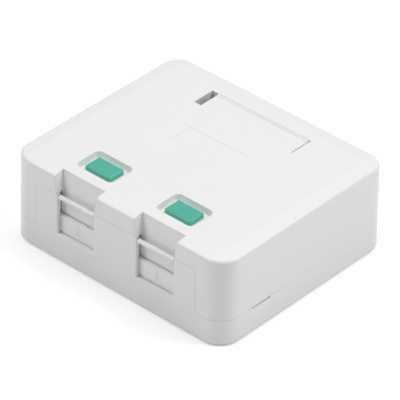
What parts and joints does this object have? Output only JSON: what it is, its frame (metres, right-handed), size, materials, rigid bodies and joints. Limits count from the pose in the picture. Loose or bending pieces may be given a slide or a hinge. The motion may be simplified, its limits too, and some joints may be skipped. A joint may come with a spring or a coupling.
{
  "type": "surface mount jack box",
  "caption": "Low white surface mount box with shuttered modular jacks in its front, snap-in icons and a label window.",
  "frame": {"origin": "centre of the outline on the mounting face, at the underside of the base", "axes": "+X to the right seen from the front, -Y out of the ports, +Z away from the mounting face"},
  "size_m": [0.07, 0.0604, 0.025],
  "materials": {
    "shell_white": "satin",
    "shutter_white": "satin",
    "icon_green": "satin",
    "clear_plastic": "clear",
    "card_grey": "matte",
    "zinc_yellow": "satin",
    "board_green": "satin",
    "jack_black": "satin",
    "contact_gold": "polished",
    "blade_tin": "satin",
    "cap_clear": "satin"
  },
  "bodies": {
    "housing": {"base": "shell_white", "cover": "shell_white", "label_window": "clear_plastic", "label_card": "card_grey", "cover_screw": "zinc_yellow", "icon_left": "icon_green", "circuit_board_left": "board_green", "jack_housing_left": "jack_black", "jack_contacts_left": "contact_gold", "idc_block_left": "shutter_white", "idc_blades_left": "blade_tin", "wiring_cap_left": "cap_clear", "icon_right": "icon_green", "circuit_board_right": "board_green", "jack_housing_right": "jack_black", "jack_contacts_right": "contact_gold", "idc_block_right": "shutter_white", "idc_blades_right": "blade_tin", "wiring_cap_right": "cap_clear"},
    "lower_leaf_left": {"lower_shutter_left": "shutter_white"},
    "upper_leaf_left": {"upper_shutter_left": "shutter_white"},
    "lower_leaf_right": {"lower_shutter_right": "shutter_white"},
    "upper_leaf_right": {"upper_shutter_right": "shutter_white"}
  },
  "joints": [
    {"name": "lower_leaf_slide_left", "type": "slide", "parent": "housing", "child": "lower_leaf_left", "axis": [0, 0, -1], "range_m": [0, 0.00555]},
    {"name": "upper_leaf_slide_left", "type": "slide", "parent": "lower_leaf_left", "child": "upper_leaf_left", "axis": [0, 0, -1], "range_m": [0, 0.0043]},
    {"name": "lower_leaf_slide_right", "type": "slide", "parent": "housing", "child": "lower_leaf_right", "axis": [0, 0, -1], "range_m": [0, 0.00555]},
    {"name": "upper_leaf_slide_right", "type": "slide", "parent": "lower_leaf_right", "child": "upper_leaf_right", "axis": [0, 0, -1], "range_m": [0, 0.0043]}
  ]
}
